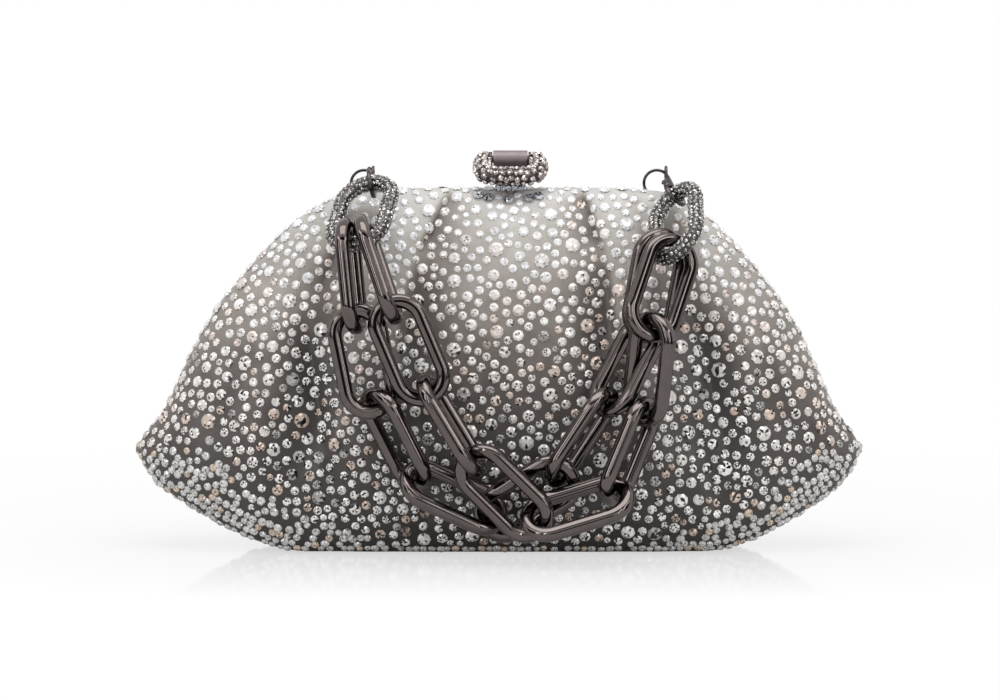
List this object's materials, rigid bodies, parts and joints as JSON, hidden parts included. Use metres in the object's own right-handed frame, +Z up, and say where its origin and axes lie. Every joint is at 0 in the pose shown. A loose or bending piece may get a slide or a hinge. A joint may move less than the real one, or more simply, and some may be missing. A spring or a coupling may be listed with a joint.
{
  "type": "evening clutch bag",
  "caption": "Crystal-covered frame clutch with swelling sides, a ring clasp on top and a two-strand chain handle.",
  "frame": {"origin": "middle of the underside of the whole object's box, on the surface it stands on", "axes": "+X to the right as the front is seen, +Y from the front to the back, +Z up"},
  "size_m": [0.235, 0.0868, 0.1291],
  "materials": {
    "satin_light": "satin with crystals",
    "satin_dark": "satin with crystals",
    "lining": "satin",
    "board": "matte",
    "satin_metal": "satin gunmetal",
    "gunmetal": "polished gunmetal",
    "jewelled_metal": "gunmetal set with small stones"
  },
  "bodies": {
    "bag": {"front_panel": "satin_light", "back_panel_lower": "satin_light", "base_panel": "satin_dark", "base_board": "board", "lining": "lining", "front_frame": "satin_metal", "hinge_pin_left": "satin_metal", "hinge_pin_right": "satin_metal", "ring_bracket_left": "satin_metal", "ring_bracket_right": "satin_metal", "clasp_seat": "satin_metal"},
    "back": {"back_panel_upper": "satin_light", "back_frame": "satin_metal", "clasp_barrel": "satin_metal"},
    "clasp": {"clasp_ring": "jewelled_metal"},
    "ring_left": {"ring_left": "satin_metal"},
    "ring_right": {"ring_right": "satin_metal"},
    "handle": {"clasp_body_left": "satin_metal", "clasp_body_right": "satin_metal"},
    "trigger_left": {"trigger_left": "satin_metal"},
    "trigger_right": {"trigger_right": "satin_metal"},
    "jewelled_link_left": {"jewelled_link_left": "jewelled_metal"},
    "jewelled_link_right": {"jewelled_link_right": "jewelled_metal"},
    "link_a1": {"link_a1": "gunmetal"},
    "link_a2": {"link_a2": "gunmetal"},
    "link_a3": {"link_a3": "gunmetal"},
    "link_a4": {"link_a4": "gunmetal"},
    "link_a5": {"link_a5": "gunmetal"},
    "link_a6": {"link_a6": "gunmetal"},
    "link_a7": {"link_a7": "gunmetal"},
    "link_a8": {"link_a8": "gunmetal"},
    "link_b1": {"link_b1": "gunmetal"},
    "link_b2": {"link_b2": "gunmetal"},
    "link_b3": {"link_b3": "gunmetal"},
    "link_b4": {"link_b4": "gunmetal"},
    "link_b5": {"link_b5": "gunmetal"},
    "link_b6": {"link_b6": "gunmetal"},
    "link_b7": {"link_b7": "gunmetal"},
    "link_b8": {"link_b8": "gunmetal"}
  },
  "joints": [
    {"name": "back_frame_hinge", "type": "hinge", "parent": "bag", "child": "back", "pos_m": [0.00374, 0.01473, 0.095], "axis": [-1, 0, 0], "range_deg": [0, 55]},
    {"name": "clasp_ring_hinge", "type": "hinge", "parent": "back", "child": "clasp", "pos_m": [0.00374, 0.02032, 0.1262], "axis": [-1, 0, 0], "range_deg": [0, 100]},
    {"name": "ring_left_hinge", "type": "hinge", "parent": "bag", "child": "ring_left", "pos_m": [-0.04396, 0.01473, 0.1146], "axis": [-1, 0, 0], "range_deg": [0, 40]},
    {"name": "ring_right_hinge", "type": "hinge", "parent": "bag", "child": "ring_right", "pos_m": [0.05144, 0.01473, 0.1146], "axis": [-1, 0, 0], "range_deg": [0, 40]},
    {"name": "handle_swing", "type": "hinge", "parent": "ring_left", "child": "handle", "pos_m": [-0.04099, 0.01473, 0.12177], "axis": [-1, 0, 0], "range_deg": [0, 150]},
    {"name": "trigger_left_hinge", "type": "hinge", "parent": "handle", "child": "trigger_left", "pos_m": [-0.0417, 0.00483, 0.12264], "axis": [0.9778, -0.0536, 0.2026], "range_deg": [0, 20], "stiffness_Nm_per_rad": 0.001, "springref_deg": -5.73},
    {"name": "trigger_right_hinge", "type": "hinge", "parent": "handle", "child": "trigger_right", "pos_m": [0.05425, 0.00524, 0.11872], "axis": [0.6369, -0.2454, 0.7308], "range_deg": [0, 20], "stiffness_Nm_per_rad": 0.001, "springref_deg": -5.73},
    {"name": "jewelled_link_left_turn", "type": "hinge", "parent": "handle", "child": "jewelled_link_left", "pos_m": [-0.04399, -0.00949, 0.1106], "axis": [-0.1854, -0.7694, -0.6112], "range_deg": [-3, 3]},
    {"name": "jewelled_link_right_turn", "type": "hinge", "parent": "handle", "child": "jewelled_link_right", "pos_m": [0.05686, -0.00933, 0.10805], "axis": [0.0078, 0.8518, 0.5238], "range_deg": [-3, 3]},
    {"name": "link_a1_turn", "type": "hinge", "parent": "handle", "child": "link_a1", "pos_m": [-0.0473, -0.02142, 0.09133], "axis": [0.0995, -0.137, -0.9856], "range_deg": [-3, 3]},
    {"name": "link_a2_turn", "type": "hinge", "parent": "handle", "child": "link_a2", "pos_m": [-0.04331, -0.02347, 0.06424], "axis": [0.1984, -0.0468, -0.979], "range_deg": [-3, 3]},
    {"name": "link_a3_turn", "type": "hinge", "parent": "handle", "child": "link_a3", "pos_m": [-0.03302, -0.02312, 0.03898], "axis": [0.4461, 0.0677, -0.8924], "range_deg": [-3, 3]},
    {"name": "link_a4_turn", "type": "hinge", "parent": "handle", "child": "link_a4", "pos_m": [-0.01438, -0.02335, 0.02067], "axis": [0.9055, 0.0497, -0.4214], "range_deg": [-3, 3]},
    {"name": "link_a5_turn", "type": "hinge", "parent": "handle", "child": "link_a5", "pos_m": [0.00935, -0.02283, 0.02032], "axis": [0.8277, -0.1234, 0.5474], "range_deg": [-3, 3]},
    {"name": "link_a6_turn", "type": "hinge", "parent": "handle", "child": "link_a6", "pos_m": [0.02657, -0.02426, 0.04045], "axis": [0.5501, 0.0815, 0.8311], "range_deg": [-3, 3]},
    {"name": "link_a7_turn", "type": "hinge", "parent": "handle", "child": "link_a7", "pos_m": [0.04121, -0.02065, 0.06323], "axis": [0.477, 0.237, 0.8463], "range_deg": [-3, 3]},
    {"name": "link_a8_turn", "type": "hinge", "parent": "handle", "child": "link_a8", "pos_m": [0.05051, -0.01482, 0.08809], "axis": [0.1754, 0.1234, 0.9767], "range_deg": [-3, 3]},
    {"name": "link_b1_turn", "type": "hinge", "parent": "handle", "child": "link_b1", "pos_m": [-0.03837, -0.02351, 0.09376], "axis": [0.3228, -0.2594, -0.9102], "range_deg": [-3, 3]},
    {"name": "link_b2_turn", "type": "hinge", "parent": "handle", "child": "link_b2", "pos_m": [-0.02855, -0.02646, 0.06827], "axis": [0.3871, -0.0183, -0.9219], "range_deg": [-3, 3]},
    {"name": "link_b3_turn", "type": "hinge", "parent": "handle", "child": "link_b3", "pos_m": [-0.01512, -0.02791, 0.04435], "axis": [0.5171, -0.1499, -0.8427], "range_deg": [-3, 3]},
    {"name": "link_b4_turn", "type": "hinge", "parent": "handle", "child": "link_b4", "pos_m": [0.0017, -0.03159, 0.02315], "axis": [0.7148, -0.108, -0.691], "range_deg": [-3, 3]},
    {"name": "link_b5_turn", "type": "hinge", "parent": "handle", "child": "link_b5", "pos_m": [0.02483, -0.03518, 0.01902], "axis": [0.9537, 0.0218, 0.3001], "range_deg": [-3, 3]},
    {"name": "link_b6_turn", "type": "hinge", "parent": "handle", "child": "link_b6", "pos_m": [0.0418, -0.02905, 0.03659], "axis": [0.3739, 0.1483, 0.9155], "range_deg": [-3, 3]},
    {"name": "link_b7_turn", "type": "hinge", "parent": "handle", "child": "link_b7", "pos_m": [0.04754, -0.02813, 0.06289], "axis": [0.0937, -0.0902, 0.9915], "range_deg": [-3, 3]},
    {"name": "link_b8_turn", "type": "hinge", "parent": "handle", "child": "link_b8", "pos_m": [0.05151, -0.0238, 0.08877], "axis": [0.3064, 0.3982, 0.8646], "range_deg": [-3, 3]}
  ],
  "couplings": [
    {"joint": "ring_right_hinge", "follows": "ring_left_hinge", "ratio": 1}
  ]
}
